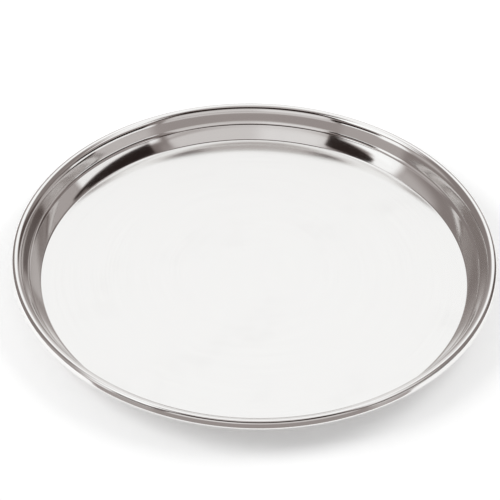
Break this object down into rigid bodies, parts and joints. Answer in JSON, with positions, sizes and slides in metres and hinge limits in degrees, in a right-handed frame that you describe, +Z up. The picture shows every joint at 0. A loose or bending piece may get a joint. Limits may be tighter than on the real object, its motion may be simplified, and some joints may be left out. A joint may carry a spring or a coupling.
{
  "type": "buffet plate",
  "caption": "Round shallow buffet plate of polished stainless steel, with a flat floor, a stepped sloping wall and a rolled, wired rim, for serving food.",
  "frame": {"origin": "on the resting plane, at the middle of the flat underside", "axes": "+Z up along the plate's axis of rotation, towards the rim; +X and +Y lie in the resting plane, and -Y faces the viewer of the picture"},
  "size_m": [0.26, 0.26, 0.0176],
  "materials": {
    "polished_steel": "mirror-polished stainless steel, finer on the wall and rim than on the floor",
    "wire_steel": "plain drawn wire"
  },
  "bodies": {
    "root": {"plate_body": "polished_steel", "rim_wire": "wire_steel"}
  },
  "joints": []
}
